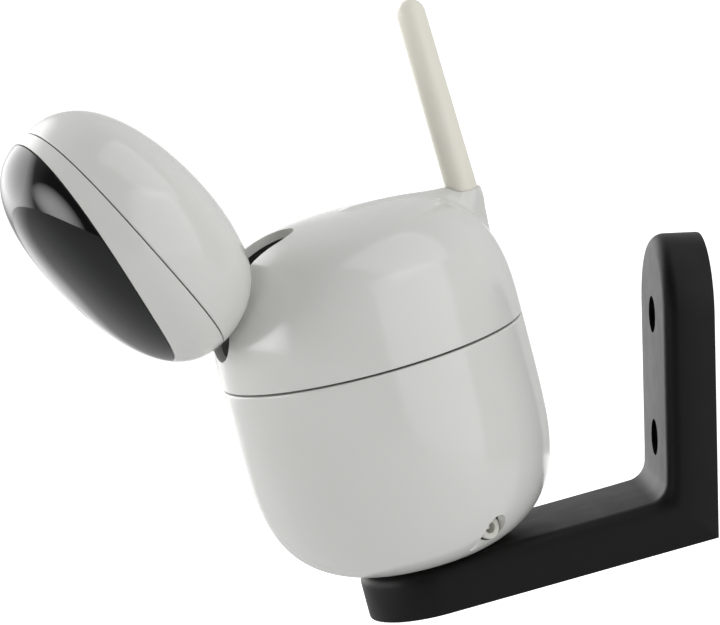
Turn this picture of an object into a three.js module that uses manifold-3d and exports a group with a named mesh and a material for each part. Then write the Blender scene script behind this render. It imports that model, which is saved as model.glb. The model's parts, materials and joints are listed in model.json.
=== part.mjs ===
// Baby monitor camera on its wall bracket: a leaning round base, a turret that pans on it and a
// round camera head that tilts on a neck through the turret's slot. Millimetres, +Z up along the
// wall, +Y into the wall, origin at the middle of the bracket's back face.
import * as THREE from "three";
import { mergeVertices } from "three/addons/utils/BufferGeometryUtils.js";
import Module from "manifold-3d";

const wasm = await Module();
wasm.setup();

// ---------- driving dimensions ----------
const DEG = Math.PI / 180;
const GAP = 0.3; // clearance between touching pieces
const SIDES = 30; // facets round a shell
const SOME = 18; // facets round a middle-sized part
const FEW = 10; // facets round a small pin

const LEAN = 13 * DEG; // the camera's axis leans out from the wall
const PAN = 15 * DEG; // the turret is turned this far at rest
const PITCH = 27.5 * DEG; // the head looks down this far, from the turret's own level

const BODY_R = 42; // base and turret radius at the seam
const DOME_H = 38.2; // turret height above the seam
const DOME_POWER = 3.09; // superellipse power of the turret
const BASE_H = 58.4; // seam down to the bracket's top face
const WALL = 2.2; // shell wall

const ARM_W = 41; // bracket width
const ARM_T = 13.6; // bracket thickness
const ARM_LOW = 95.8; // bottom arm, corner to tip
const ARM_UP = 80.8; // wall arm, corner to tip
const ARM_EDGE = 4; // rounding of the bracket's inner edges
const CORNER_BACK = 76.4; // bracket corner behind the camera's axis
const CORNER_DOWN = BASE_H + ARM_T; // bracket corner below the seam
const SEAM_OUT = CORNER_BACK * Math.cos(LEAN) + CORNER_DOWN * Math.sin(LEAN); // to the wall
const SEAM_UP = CORNER_DOWN * Math.cos(LEAN) - CORNER_BACK * Math.sin(LEAN) - ARM_UP / 2;

const HEAD_R = 38; // round camera head
const HEAD_FRONT = 21.6; // widest section to the front
const HEAD_BACK = 22.7; // widest section to the back
const FRONT_POWER = 2.62;
const BACK_POWER = 2.46;
const HEAD_WALL = 2;
const HEAD_AT = [0, -58, 49]; // head centre, from the seam centre, in the turret's frame
const HEAD_SEAM = 2.4; // shell seam in front of the widest section
const FACE_TILT = 6 * DEG; // the black face leans back on the head
const FACE_EDGE = 10.8; // black face begins here, in front of the widest section
const COVER_T = 1.6; // wall of the black cover
const MASK_R = 22; // mask plate behind the cover
const MASK_AT = 11.9;
const MASK_T = 1.2;

const TILT_Z = 10; // tilt axle above the seam
const NECK_UP = 20 * DEG; // the neck rises this far at rest
const NECK_W = 11;
const NECK_H = 8;
const SLOT_W = 16;
const SLOT_LOW = 9; // bottom of the slot above the seam
const SLOT_BACK = 13; // the slot ends this far in front of the axis
const SLOT_DEEP = 26; // the slot's rear end is cut down to here
const SADDLE_R = 43.7; // the head is hollowed to this radius about the axle
const CURTAIN_R = 25; // the shield inside the slot

const MODULE = 1; // gear module
const PAN_TEETH = 24;
const PAN_PINION_TEETH = 12;
const TILT_TEETH = 20;
const TILT_PINION_TEETH = 10;
const MESH_PLAY = 0.25;
const TILT_PINION_DIR = 17.4 * DEG; // pinion behind and above the axle

// ---------- materials ----------
const finish = (color, roughness, metalness = 0) =>
  new THREE.MeshStandardMaterial({ color, roughness, metalness });
const WHITE = finish(0xe4e4df, 0.18);
const CREAM = finish(0xe9e4d2, 0.45);
const BLACK = finish(0x141414, 0.42);
const GLOSS_BLACK = finish(0x060608, 0.06);
const BLUE_BLACK = finish(0x0a0c22, 0.15, 0.3);
const GREY = finish(0x4b4c4a, 0.6);
const NATURAL = finish(0xd8d6cc, 0.5);
const RUBBER = finish(0x1c1c1c, 0.85);
const STEEL = finish(0xb9bbbd, 0.3, 1);
const BRASS = finish(0xc7a04c, 0.35, 1);
const BOARD = finish(0x1d5a36, 0.5);
const GLASS = finish(0x1a1c2e, 0.05);

// ---------- solids ----------
// A three.js geometry as a manifold solid, with its faces turned out.
function solid(geometry) {
  const bare = geometry.index ? geometry.toNonIndexed() : geometry.clone();
  bare.deleteAttribute("normal");
  bare.deleteAttribute("uv");
  const merged = mergeVertices(bare, 1e-4);
  const corners = merged.index.array;
  const faces = [];
  for (let i = 0; i < corners.length; i += 3) {
    const [a, b, c] = [corners[i], corners[i + 1], corners[i + 2]];
    if (a !== b && b !== c && c !== a) faces.push(a, b, c);
  }
  const make = (triangles) =>
    new wasm.Manifold(
      new wasm.Mesh({
        numProp: 3,
        vertProperties: new Float32Array(merged.attributes.position.array),
        triVerts: new Uint32Array(triangles),
      }),
    );
  const first = make(faces);
  return first.volume() > 0 ? first : make(faces.reverse());
}

function geometryOf(body) {
  const mesh = body.getMesh();
  return new THREE.BufferGeometry()
    .setAttribute("position", new THREE.BufferAttribute(mesh.vertProperties, 3))
    .setIndex(new THREE.BufferAttribute(mesh.triVerts, 1));
}

// Adds one named node to a group.
function node(group, name, body, material) {
  const mesh = new THREE.Mesh(geometryOf(body), material);
  mesh.name = name;
  group.add(mesh);
  return mesh;
}

const cut = (body, ...tools) => tools.reduce((left, tool) => left.subtract(tool), body);
const join = (body, ...more) => more.reduce((sum, next) => sum.add(next), body);

// A body of revolution about Z from [radius, height] points.
function turn(points, sides = SIDES) {
  const outline = points.map(([r, z]) => new THREE.Vector2(r, z));
  return new THREE.LatheGeometry(outline, sides).rotateX(Math.PI / 2);
}

// A tube or disc along Z between two heights.
function tube(outer, inner, low, high, sides = FEW) {
  const ring = [[outer, low], [outer, high], [inner, high], [inner, low]];
  return turn(inner > 0 ? [...ring, [outer, low]] : [[0, low], ...ring.slice(0, 2), [0, high]], sides);
}

// A box from its low and high corners.
function block([x0, y0, z0], [x1, y1, z1]) {
  return new THREE.BoxGeometry(x1 - x0, y1 - y0, z1 - z0).translate(
    (x0 + x1) / 2,
    (y0 + y1) / 2,
    (z0 + z1) / 2,
  );
}

// A flat outline pushed up along Z, with an optional rounded edge.
function push(outline, height, edge = 0, curveSegments = 8) {
  return new THREE.ExtrudeGeometry(outline, {
    depth: height - 2 * edge,
    bevelEnabled: edge > 0,
    bevelSize: edge,
    bevelThickness: edge,
    bevelOffset: -edge,
    bevelSegments: 3,
    curveSegments,
  }).translate(0, 0, edge);
}

// Points of a superellipse quarter, from the rim (angle 0) to the axis (90 degrees).
function quarter(radius, height, power, from = 0, to = 90, steps = 6) {
  return Array.from({ length: steps + 1 }, (_, i) => {
    const angle = (from + ((to - from) * i) / steps) * DEG;
    const r = radius * Math.max(Math.cos(angle), 0) ** (2 / power);
    return [i === steps && to === 90 ? 0 : r, height * Math.sin(angle) ** (2 / power)];
  });
}

// The same superellipse's height at a given radius.
const heightAt = (r, radius, height, power) => height * (1 - (r / radius) ** power) ** (1 / power);

// A spur gear with straight-flanked teeth; tooth 0 (or gap 0) points along +X.
function gear(teeth, thickness, bore, gapFirst = false) {
  const pitch = (2 * Math.PI) / teeth;
  const root = MODULE * (teeth / 2 - 1);
  const tip = MODULE * (teeth / 2 + 0.8);
  const flanks = [[root, -0.26], [tip, -0.12], [tip, 0.12], [root, 0.26]]; // parts of a pitch
  const corners = [];
  for (let tooth = 0; tooth < teeth; tooth++) {
    const middle = tooth + (gapFirst ? 0.5 : 0);
    for (const [r, part] of flanks) {
      const angle = (middle + part) * pitch;
      corners.push(new THREE.Vector2(r * Math.cos(angle), r * Math.sin(angle)));
    }
  }
  const outline = new THREE.Shape(corners);
  outline.holes.push(new THREE.Path().absarc(0, 0, bore, 0, 2 * Math.PI, true));
  return push(outline, thickness, 0, 6);
}

// A cross-head screw standing on Z = 0, its thread pointing down.
function screw(headR, headH, threadR, length) {
  const [long, thin, floor] = [headR * 0.6, 0.4, headH * 0.5];
  const recess = join(
    solid(block([-long, -thin, floor], [long, thin, headH + 1])),
    solid(block([-thin, -long, floor], [thin, long, headH + 1])),
  );
  const blank = [[0, -length], [threadR, -length], [threadR, 0], [headR, 0], [headR, headH], [0, headH]];
  return cut(solid(turn(blank, FEW)), recess);
}

// Moves or turns a finished solid by a three.js matrix.
function moved(body, position, rotation = [0, 0, 0]) {
  const matrix = new THREE.Matrix4().makeRotationFromEuler(new THREE.Euler(...rotation));
  matrix.setPosition(...position);
  return solid(geometryOf(body).applyMatrix4(matrix));
}

// A point at an angle from the front (-Y) towards +X, on a circle about Z.
const around = (degrees, r, z) => [r * Math.sin(degrees * DEG), -r * Math.cos(degrees * DEG), z];

// ---------- groups ----------
const camera = new THREE.Group();
const base = new THREE.Group(); // seam centre, leaning with the camera's axis
base.position.set(0, -SEAM_OUT, SEAM_UP);
base.rotation.x = LEAN;
camera.add(base);
const turret = new THREE.Group();
turret.rotation.z = PAN;
base.add(turret);
const head = new THREE.Group(); // -Y looks out of the lens
head.position.set(...HEAD_AT);
head.rotation.x = PITCH;
turret.add(head);
const face = new THREE.Group(); // as the head, leaning back with the black face
face.rotation.x = -FACE_TILT;
head.add(face);

// ---------- wall bracket ----------
const BRACKET_SCREW = 3; // thread radius
const COUNTERBORE_R = 6.6;
const WALL_HOLES = [ARM_UP - 22, ARM_UP - 56]; // up the wall arm from the corner
const COUNTERBORE_TOP = -CORNER_DOWN + 5.2;

// One arm standing on Z = 0, its free end round and its upper edges rounded.
function bracketArm(length) {
  const half = ARM_W / 2;
  const outline = new THREE.Shape();
  outline.moveTo(0, -half);
  outline.lineTo(length - half, -half);
  outline.absarc(length - half, 0, half, -Math.PI / 2, Math.PI / 2, false);
  outline.lineTo(0, half);
  outline.closePath();
  const thick = push(outline, ARM_T + ARM_EDGE, ARM_EDGE).translate(0, 0, -ARM_EDGE);
  return solid(thick).intersect(solid(block([ARM_EDGE, -half, 0], [length, half, ARM_T])));
}

// The corner that joins both arms, with its inside fillet.
function bracketCorner() {
  const fillet = 7;
  const turnAngle = Math.PI / 2 + LEAN; // between the arms
  const reach = ARM_T / Math.tan(turnAngle / 2);
  const along = reach + fillet / Math.tan(turnAngle / 2);
  const up = new THREE.Vector2(Math.cos(turnAngle), Math.sin(turnAngle));
  const across = new THREE.Vector2(up.y, -up.x);
  const lowEnd = new THREE.Vector2(along, ARM_T);
  const upEnd = up.clone().multiplyScalar(along).addScaledVector(across, ARM_T);
  const bend = new THREE.Vector2(reach, ARM_T);
  const profile = new THREE.Shape();
  profile.moveTo(0, 0);
  profile.lineTo(along, 0);
  profile.lineTo(lowEnd.x, lowEnd.y);
  profile.quadraticCurveTo(bend.x, bend.y, upEnd.x, upEnd.y);
  profile.lineTo(up.x * along, up.y * along);
  profile.closePath();
  return solid(push(profile, ARM_W).translate(0, 0, -ARM_W / 2));
}

function buildBracket() {
  const corner = [0, CORNER_BACK, -CORNER_DOWN];
  const low = moved(bracketArm(ARM_LOW), corner, [0, 0, -Math.PI / 2]);
  const upTurn = new THREE.Matrix4().makeRotationX(-LEAN);
  const stand = new THREE.Matrix4().makeBasis(
    new THREE.Vector3(0, 0, 1),
    new THREE.Vector3(1, 0, 0),
    new THREE.Vector3(0, 1, 0),
  );
  const lift = new THREE.Matrix4().makeTranslation(...corner);
  const flip = new THREE.Matrix4().makeScale(1, 1, -1);
  const upMatrix = lift.clone().multiply(upTurn).multiply(stand).multiply(flip);
  const up = solid(geometryOf(bracketArm(ARM_UP)).applyMatrix4(upMatrix));
  const sideways = new THREE.Matrix4().makeBasis(
    new THREE.Vector3(0, -1, 0),
    new THREE.Vector3(0, 0, 1),
    new THREE.Vector3(-1, 0, 0),
  );
  const bend = solid(geometryOf(bracketCorner()).applyMatrix4(lift.clone().multiply(sideways)));
  const bore = solid(tube(BRACKET_SCREW + 0.4, 0, -CORNER_DOWN - 1, -BASE_H + 1, SOME));
  const counterbore = solid(tube(COUNTERBORE_R, 0, -CORNER_DOWN - 1, COUNTERBORE_TOP, SOME));
  const countersunk = [[0, -1], [2.4, -1], [2.4, ARM_T - 4], [5, ARM_T - 1.4], [5, ARM_T + 1],
    [0, ARM_T + 1]];
  const wallHoles = WALL_HOLES.map((height) => {
    const hole = turn(countersunk, SOME);
    const place = new THREE.Matrix4().makeTranslation(height, 0, 0);
    return solid(hole.applyMatrix4(upMatrix.clone().multiply(place)));
  });
  node(base, "wall_bracket", cut(join(low, up, bend), bore, counterbore, ...wallHoles), BLACK);
}

// ---------- base ----------
const PLATE_R = 20.3;
const PLATE_LOW = -BASE_H + GAP;
const PLATE_TOP = PLATE_LOW + 2;
const POST_R = 12.5; // circle of the plate's posts
const POSTS_AT = [0, 120, 240]; // degrees from the front
const DECK_LOW = -9.3;
const DECK_TOP = -7.3;
const DECK_R = 39.3;
const DECK_SCREW_R = 1.15;
const JACK_AT = 122; // degrees from the front
const JACK_Z = -50.6;
const JACK_R = 3.1; // flange at the jack's mouth
const JACK_BODY_R = 2.7;
const JACK_BORE = 1.6;
const SCOOP_END_R = 1.2; // where the cable's scoop below the jack runs out
const SCOOP_RUN = [-4.6, -4.6, -6.4]; // from its round end: sideways, up and out
const JACK_OUT = 30; // mouth of the power jack, out from the axis
const BUTTON_AT = 235;
const BUTTON_Z = -30;
const BUTTON_R = 3.2;
const SPEAKER_Z = -30;
const BOARD_TOP = -43.9; // top of the power board
const PINION_OUT = (MODULE * (PAN_TEETH + PAN_PINION_TEETH)) / 2 + MESH_PLAY;

// Radius of the base at a depth below the seam: straight, then tucking in to a flat foot.
const baseRadius = (depth) => BODY_R * (1 - (depth / (1.038 * BASE_H)) ** 4.76) ** (1 / 2.6);

function baseOutline(inset, top, bottom) {
  const steps = 7;
  return Array.from({ length: steps + 1 }, (_, i) => {
    const depth = top + (bottom - top) * Math.sin((i / steps) * 90 * DEG) ** 0.8;
    return [baseRadius(depth + inset * (depth / BASE_H) ** 3) - inset, -depth];
  });
}

// Turns a solid built along +Z so that it points outwards at an angle from the front.
function outward(body, degrees, r, z) {
  return moved(body, around(degrees, r, z), [Math.PI / 2, 0, degrees * DEG, "ZYX"]);
}

// A cutter like a drawn-out drop: a ball at the origin that narrows to a smaller one at the end of the run.
function drop(bigR, smallR, run) {
  const along = new THREE.Vector3(...run);
  const length = along.length();
  const touch = Math.asin((bigR - smallR) / length);
  const steps = 6;
  const arc = (r, z, from, to) => Array.from({ length: steps + 1 }, (_, i) => {
    const angle = from + ((to - from) * i) / steps;
    return [r * Math.cos(angle), z + r * Math.sin(angle)];
  });
  const quarter = Math.PI / 2;
  const outline = [...arc(bigR, 0, -quarter, touch), ...arc(smallR, length, touch, quarter)];
  const up = new THREE.Vector3(0, 0, 1);
  const facing = new THREE.Quaternion().setFromUnitVectors(up, along.normalize());
  return solid(turn(outline, SOME).applyQuaternion(facing));
}

function buildBaseShell() {
  const outer = baseOutline(0, GAP, BASE_H - GAP);
  const inner = baseOutline(WALL, GAP, BASE_H - 2 * WALL - GAP).reverse();
  const floor = PLATE_TOP + GAP;
  const shell = solid(turn([...outer.reverse(), ...inner.reverse(), [16, -BASE_H + 2 * WALL + GAP],
    [16, floor], [PLATE_R + GAP, floor], [PLATE_R + GAP, -BASE_H + GAP], outer[0]]));
  const ledgeTop = DECK_LOW - GAP;
  const ledge = solid(tube(BODY_R - WALL + 0.4, BODY_R - WALL - 2.4, ledgeTop - 2.4, ledgeTop, SIDES));
  const jackHole = outward(solid(tube(JACK_R + GAP, 0, -5, 16, SOME)), JACK_AT, JACK_OUT, JACK_Z);
  const scoop = outward(drop(JACK_R + GAP, SCOOP_END_R, SCOOP_RUN), JACK_AT, JACK_OUT + 4.6, JACK_Z);
  const buttonHole = outward(solid(tube(BUTTON_R + GAP, 0, -6, 6, SOME)), BUTTON_AT, BODY_R, BUTTON_Z);
  const grille = [-2, -1, 0, 1, 2].map((i) => {
    const x = i * 3.6;
    const half = 7 - Math.abs(i) * 1.2; // the outer slits are shorter
    return solid(block([x - 0.8, 32, SPEAKER_Z - half], [x + 0.8, BODY_R + 4, SPEAKER_Z + half]));
  });
  node(base, "base_shell", cut(join(shell, ledge), jackHole, scoop, buttonHole, ...grille), WHITE);
}

function buildBasePlate() {
  const disc = solid(tube(PLATE_R, 5.8, PLATE_LOW, PLATE_TOP, SIDES));
  const boss = solid(tube(8.6, 5.8, PLATE_LOW, -48.5, SOME));
  const groove = solid(tube(17.8, 12.2, PLATE_LOW - 1, PLATE_LOW + 1.2, SIDES));
  const posts = POSTS_AT.map((degrees) => {
    const at = around(degrees, POST_R, 0);
    const post = solid(tube(2.7, 0, PLATE_TOP - 0.4, DECK_LOW - GAP).translate(...at));
    const hole = solid(tube(1.3, 0, DECK_LOW - 12, DECK_LOW + 1).translate(...at));
    return [post, hole];
  });
  const whole = join(disc, boss, ...posts.map(([post]) => post));
  node(base, "base_plate", cut(whole, groove, ...posts.map(([, hole]) => hole)), GREY);
  node(base, "foot_ring", solid(tube(17.5, 12.5, PLATE_LOW, PLATE_LOW + 0.9, SIDES)), RUBBER);
  node(base, "threaded_insert", solid(tube(5.5, BRACKET_SCREW + GAP, PLATE_LOW + GAP, -49, SOME)), BRASS);
  const boltHeadLow = -CORNER_DOWN + 0.6;
  const boltHeadTop = COUNTERBORE_TOP - GAP;
  const bolt = turn([[0, boltHeadLow], [5.6, boltHeadLow], [6, boltHeadLow + 0.6], [6, boltHeadTop],
    [BRACKET_SCREW, boltHeadTop], [BRACKET_SCREW, -50], [0, -50]], SOME);
  const coinSlot = solid(block([-7, -0.8, boltHeadLow - 1], [7, 0.8, boltHeadLow + 1.6]));
  node(base, "bracket_screw", cut(solid(bolt), coinSlot), STEEL);
}

function buildDeck() {
  const disc = tube(DECK_R, 8.7, DECK_LOW, DECK_TOP, SIDES);
  const through = (r, at) => solid(tube(r, 0, DECK_LOW - 1, DECK_TOP + 1).translate(...at));
  const shaftHole = through(2.2, [-PINION_OUT, 0, 0]);
  const screwHoles = POSTS_AT.map((degrees) => through(DECK_SCREW_R + GAP, around(degrees, POST_R, 0)));
  node(base, "base_deck", cut(solid(disc), shaftHole, ...screwHoles), GREY);
  POSTS_AT.forEach((degrees, i) => {
    const sunk = around(degrees, POST_R, DECK_TOP - 0.5);
    node(base, "deck_screw_" + (i + 1), moved(grubScrew(DECK_SCREW_R, 8.5), sunk), STEEL);
  });
  node(base, "pan_bearing", solid(tube(8.4, 5.5, DECK_LOW, DECK_TOP + 0.1, SOME)), STEEL);
}

// A headless screw under Z = 0 with a slot for a flat driver, for where a gear passes just above.
function grubScrew(r, length) {
  const slit = solid(block([-r - 1, -0.25, -0.7], [r + 1, 0.25, 1]));
  return cut(solid(tube(r, 0, -length, 0)), slit);
}

function buildBaseInside() {
  const motorTop = DECK_LOW - GAP;
  const motor = tube(9.5, 0, motorTop - 15, motorTop, SOME).translate(-PINION_OUT - 4, 0, 0);
  const shaft = tube(1.5, 0, motorTop - 1, DECK_TOP + 2.6).translate(-PINION_OUT, 0, 0);
  node(base, "pan_motor", join(solid(motor), solid(shaft)), STEEL);
  const ring = tube(29, 17, BOARD_TOP - 1.6, BOARD_TOP, SIDES);
  const connector = block([19, -4, BOARD_TOP - 0.2], [26, 4, BOARD_TOP + 6]);
  const capacitor = tube(4, 0, BOARD_TOP - 0.2, BOARD_TOP + 10).translate(-22, -6, 0);
  node(base, "power_board", join(solid(ring), solid(connector), solid(capacitor)), BOARD);
  const flange = solid(tube(JACK_R, JACK_BORE, 0, 1.6, SOME));
  const sleeve = solid(tube(JACK_BODY_R, JACK_BORE, -7, 1, SOME));
  const pin = solid(tube(0.6, 0, -6.6, 0.6));
  const back = solid(tube(JACK_BODY_R, 0, -8, -6.4, SOME));
  node(base, "dc_jack", outward(join(flange, sleeve, back, pin), JACK_AT, JACK_OUT, JACK_Z), NATURAL);
  const speaker = turn([[0, -7], [7, -7], [7, -3], [13, -1], [13, 2], [11.6, 2], [9, 0.4], [4.5, -0.4],
    [0, 1.6]], SOME);
  node(base, "speaker", outward(solid(speaker), 180, 30, SPEAKER_Z), GREY);
  const switchBox = block([-3, -3, -7.5], [3, 3, -4.3]);
  node(base, "power_switch", outward(solid(switchBox), BUTTON_AT, BODY_R - 1.5, BUTTON_Z), GREY);
}

function buildButton() {
  const cap = turn([[0, -3.2], [BUTTON_R, -3.2], [BUTTON_R, 1.2], [BUTTON_R - 0.5, 1.8], [0, 2]], SOME);
  node(base, "power_button", outward(solid(cap), BUTTON_AT, BODY_R - 1.5, BUTTON_Z), GREY);
}

// ---------- turret ----------
const TABLE_LOW = -4;
const TABLE_TOP = -1.8;
const GEAR_LOW = -6.9;
const GEAR_T = 2.5;
const SHELL_POSTS = [100, 220, 340]; // degrees from the turret's front
const SHELL_POST_R = 33.5;
const ANTENNA_Y = 36.9; // antenna axis where it leaves the shell
const ANTENNA_LEAN = 1.7 * DEG;
const ANTENNA_TOP = 88;
const ANTENNA_R = 4.35;
const ANTENNA_TIP_R = 4.05;
const ANTENNA_FOOT = 30.5;
const RIDGE_W = 9; // ridge from the top of the dome to the antenna

// The slot the neck moves in: an upright outline cut from the front to over the top.
function slotTool() {
  const half = SLOT_W / 2;
  const low = SLOT_LOW;
  const upper = new THREE.Shape();
  upper.absarc(0, low + half, half, Math.PI, 2 * Math.PI, false);
  upper.lineTo(half, DOME_H + 6);
  upper.lineTo(-half, DOME_H + 6);
  upper.closePath();
  const back = -SLOT_BACK - half;
  const front = push(upper, BODY_R).rotateX(Math.PI / 2).translate(0, back, 0);
  const end = tube(half, 0, SLOT_DEEP, DOME_H + 6, SOME).translate(0, back, 0);
  const span = block([-half, back - 12, SLOT_DEEP], [half, back, DOME_H + 6]);
  return join(solid(front), solid(end), solid(span));
}

function antennaFrame(solidPiece) {
  return moved(solidPiece, [0, ANTENNA_Y, ANTENNA_FOOT], [ANTENNA_LEAN, 0, 0]);
}

function buildUpperShell() {
  const lifted = (points) => points.map(([r, z]) => [r, Math.max(z, GAP)]); // clear of the seam
  const outer = lifted(quarter(BODY_R, DOME_H, DOME_POWER));
  const innerQuarter = quarter(BODY_R - WALL, DOME_H - WALL, DOME_POWER);
  const shell = solid(turn([...outer, ...lifted(innerQuarter).reverse(), outer[0]]));
  const domeFill = solid(turn([[0, GAP], ...outer]));
  const cavity = solid(turn([[0, 0], ...innerQuarter]));
  const swell = [[0, -16], [3.8, -16], [5.1, -1], [5.1, 3.2], [0, 3.2]];
  const fairing = antennaFrame(solid(turn(swell, SOME)));
  const ridge = push(ridgeOutline(), RIDGE_W).rotateX(Math.PI / 2).rotateZ(Math.PI / 2);
  const ramp = solid(ridge.translate(-RIDGE_W / 2, 0, 0));
  const postRoom = join(domeFill, solid(tube(38, 0, -2, 1, SIDES)));
  const posts = SHELL_POSTS.map((degrees) => {
    const column = tube(2.8, 0, TABLE_TOP + GAP, 24).translate(...around(degrees, SHELL_POST_R, 0));
    return solid(column).intersect(postRoom);
  });
  const pilots = SHELL_POSTS.map((degrees) =>
    solid(tube(1.3, 0, TABLE_TOP - 1, 8).translate(...around(degrees, SHELL_POST_R, 0))),
  );
  const socketHole = antennaFrame(solid(tube(4.65, 0, -3.5, 12, SOME)));
  const bulk = join(shell, cut(join(fairing, ramp), cavity), ...posts);
  node(turret, "upper_shell", cut(bulk, slotTool(), socketHole, ...pilots), WHITE);
}

// Side view of the low ridge that leads from the top of the dome back to the antenna.
function ridgeOutline() {
  const ridge = new THREE.Shape();
  ridge.moveTo(8, 33);
  ridge.lineTo(8, heightAt(8, BODY_R, DOME_H, DOME_POWER) - 0.2);
  ridge.quadraticCurveTo(26, DOME_H, ANTENNA_Y - 3, ANTENNA_FOOT + 3.2);
  ridge.lineTo(ANTENNA_Y - 3, 26);
  ridge.closePath();
  return ridge;
}

function buildAntenna() {
  const length = ANTENNA_TOP - ANTENNA_FOOT;
  const tip = Array.from({ length: 6 }, (_, i) => {
    const angle = i * 18 * DEG;
    const r = i === 5 ? 0 : ANTENNA_TIP_R * Math.cos(angle);
    return [r, length - ANTENNA_TIP_R + ANTENNA_TIP_R * Math.sin(angle)];
  });
  const sleeve = solid(turn([[0, 1.4], [ANTENNA_R, 1.4], ...tip], SOME));
  node(turret, "antenna", antennaFrame(sleeve), CREAM);
  const socket = solid(tube(4.3, 0, -3.1, 1.1, SOME));
  node(turret, "antenna_socket", antennaFrame(socket), NATURAL);
}

function buildTurntable() {
  const disc = solid(tube(38.6, 3, TABLE_LOW, TABLE_TOP, SIDES));
  const spigot = solid(tube(5.1, 3, DECK_LOW - 1, TABLE_LOW + 0.5, SOME));
  const holes = SHELL_POSTS.map((degrees) =>
    solid(tube(1.5, 0, TABLE_LOW - 1, TABLE_TOP + 1).translate(...around(degrees, SHELL_POST_R, 0))),
  );
  node(turret, "turntable", cut(join(disc, spigot), ...holes), GREY);
  SHELL_POSTS.forEach((degrees, i) => {
    const [x, y] = around(degrees, SHELL_POST_R, 0);
    const fastener = moved(screw(2.4, 1.6, 1, 9), [x, y, TABLE_LOW - GAP], [Math.PI, 0, 0]);
    node(turret, "shell_screw_" + (i + 1), fastener, STEEL);
  });
  const wheel = gear(PAN_TEETH, GEAR_T, 5.4).rotateZ(Math.PI - PAN).translate(0, 0, GEAR_LOW);
  node(turret, "pan_gear", solid(wheel), NATURAL);
}

function buildPanPinion() {
  const wheel = gear(PAN_PINION_TEETH, GEAR_T, 1.8, true).translate(-PINION_OUT, 0, GEAR_LOW);
  node(base, "pan_pinion", solid(wheel), NATURAL);
}

const CRADLE_IN = 14.2;
const CRADLE_OUT = 16.2;
const TILT_PINION_OUT = (MODULE * (TILT_TEETH + TILT_PINION_TEETH)) / 2 + MESH_PLAY;
const TILT_PINION_AT = [
  TILT_PINION_OUT * Math.cos(TILT_PINION_DIR),
  TILT_Z + TILT_PINION_OUT * Math.sin(TILT_PINION_DIR),
];
const TILT_GEAR_X = -12.2;

// Turns a solid built along Z so that it runs along X through a point of the turret.
function crosswise(geometry, x, y, z) {
  return solid(geometry.rotateZ(-Math.PI / 2).rotateY(Math.PI / 2).translate(x, y, z));
}

function buildCradle() {
  const floorTop = TABLE_TOP + GAP + 1.8;
  const floor = solid(block([-CRADLE_OUT, -8, TABLE_TOP + GAP], [CRADLE_OUT, 24, floorTop]));
  const cheeks = [-1, 1].map((side) => {
    const [x0, x1] = side > 0 ? [CRADLE_IN, CRADLE_OUT] : [-CRADLE_OUT, -CRADLE_IN];
    const foot = solid(block([x0, -6, TABLE_TOP + GAP], [x1, 22, TILT_Z]));
    const eye = crosswise(tube(6, 0, 0, x1 - x0, SOME), x0, 0, TILT_Z);
    const motorEar = crosswise(tube(5, 0, 0, x1 - x0, SOME), x0, ...TILT_PINION_AT);
    const bore = crosswise(tube(3.5, 0, -1, x1 - x0 + 1, SOME), x0, 0, TILT_Z);
    return cut(join(foot, eye, motorEar), bore);
  });
  const gearWell = solid(block([-CRADLE_IN + 1, -8.5, TABLE_TOP - 1], [-7.5, 13, floorTop + 1]));
  node(turret, "tilt_cradle", cut(join(floor, ...cheeks), gearWell), NATURAL);
  [["left", CRADLE_IN], ["right", -CRADLE_OUT]].forEach(([side, x]) => {
    const bush = crosswise(tube(3.2, 2.1, 0, CRADLE_OUT - CRADLE_IN, SOME), x, 0, TILT_Z);
    node(turret, "axle_bush_" + side, bush, BRASS);
  });
  const can = crosswise(tube(8.6, 0, 0, CRADLE_IN - GAP + 7, SOME), -7, ...TILT_PINION_AT);
  const shaft = crosswise(tube(1.2, 0, 0, 6), -12.6, ...TILT_PINION_AT);
  node(turret, "tilt_motor", join(can, shaft), STEEL);
}

function buildTiltPinion() {
  const wheel = gear(TILT_PINION_TEETH, GEAR_T, 1.5, true).rotateZ(Math.PI + TILT_PINION_DIR);
  node(turret, "tilt_pinion", crossGear(wheel, ...TILT_PINION_AT), NATURAL);
}

// A gear made in the XY plane, turned so that its +X lies along the turret's +Y.
function crossGear(geometry, y, z) {
  const matrix = new THREE.Matrix4().makeBasis(
    new THREE.Vector3(0, 1, 0),
    new THREE.Vector3(0, 0, 1),
    new THREE.Vector3(1, 0, 0),
  );
  matrix.setPosition(TILT_GEAR_X, y, z);
  return solid(geometry.applyMatrix4(matrix));
}

function buildTurretBoards() {
  node(turret, "main_board", solid(block([-18, 27, 0.6], [18, 28.6, 23])), BOARD);
  node(turret, "rf_shield", solid(block([-9, 24.6, 12], [9, 26.7, 22])), STEEL);
}

// ---------- head ----------
const FLANGE_AT = 47.2; // neck flange, out from the axle
const FLANGE_T = 2.4;
const NECK_SCREWS = [-8.8, 8.8]; // screws through the flange, left and right of the neck

// The neck's own frame: +Y runs out from the axle along the neck.
function neckFrame(geometry) {
  return solid(geometry.rotateZ(Math.PI).rotateX(-NECK_UP).translate(0, 0, TILT_Z));
}

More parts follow.
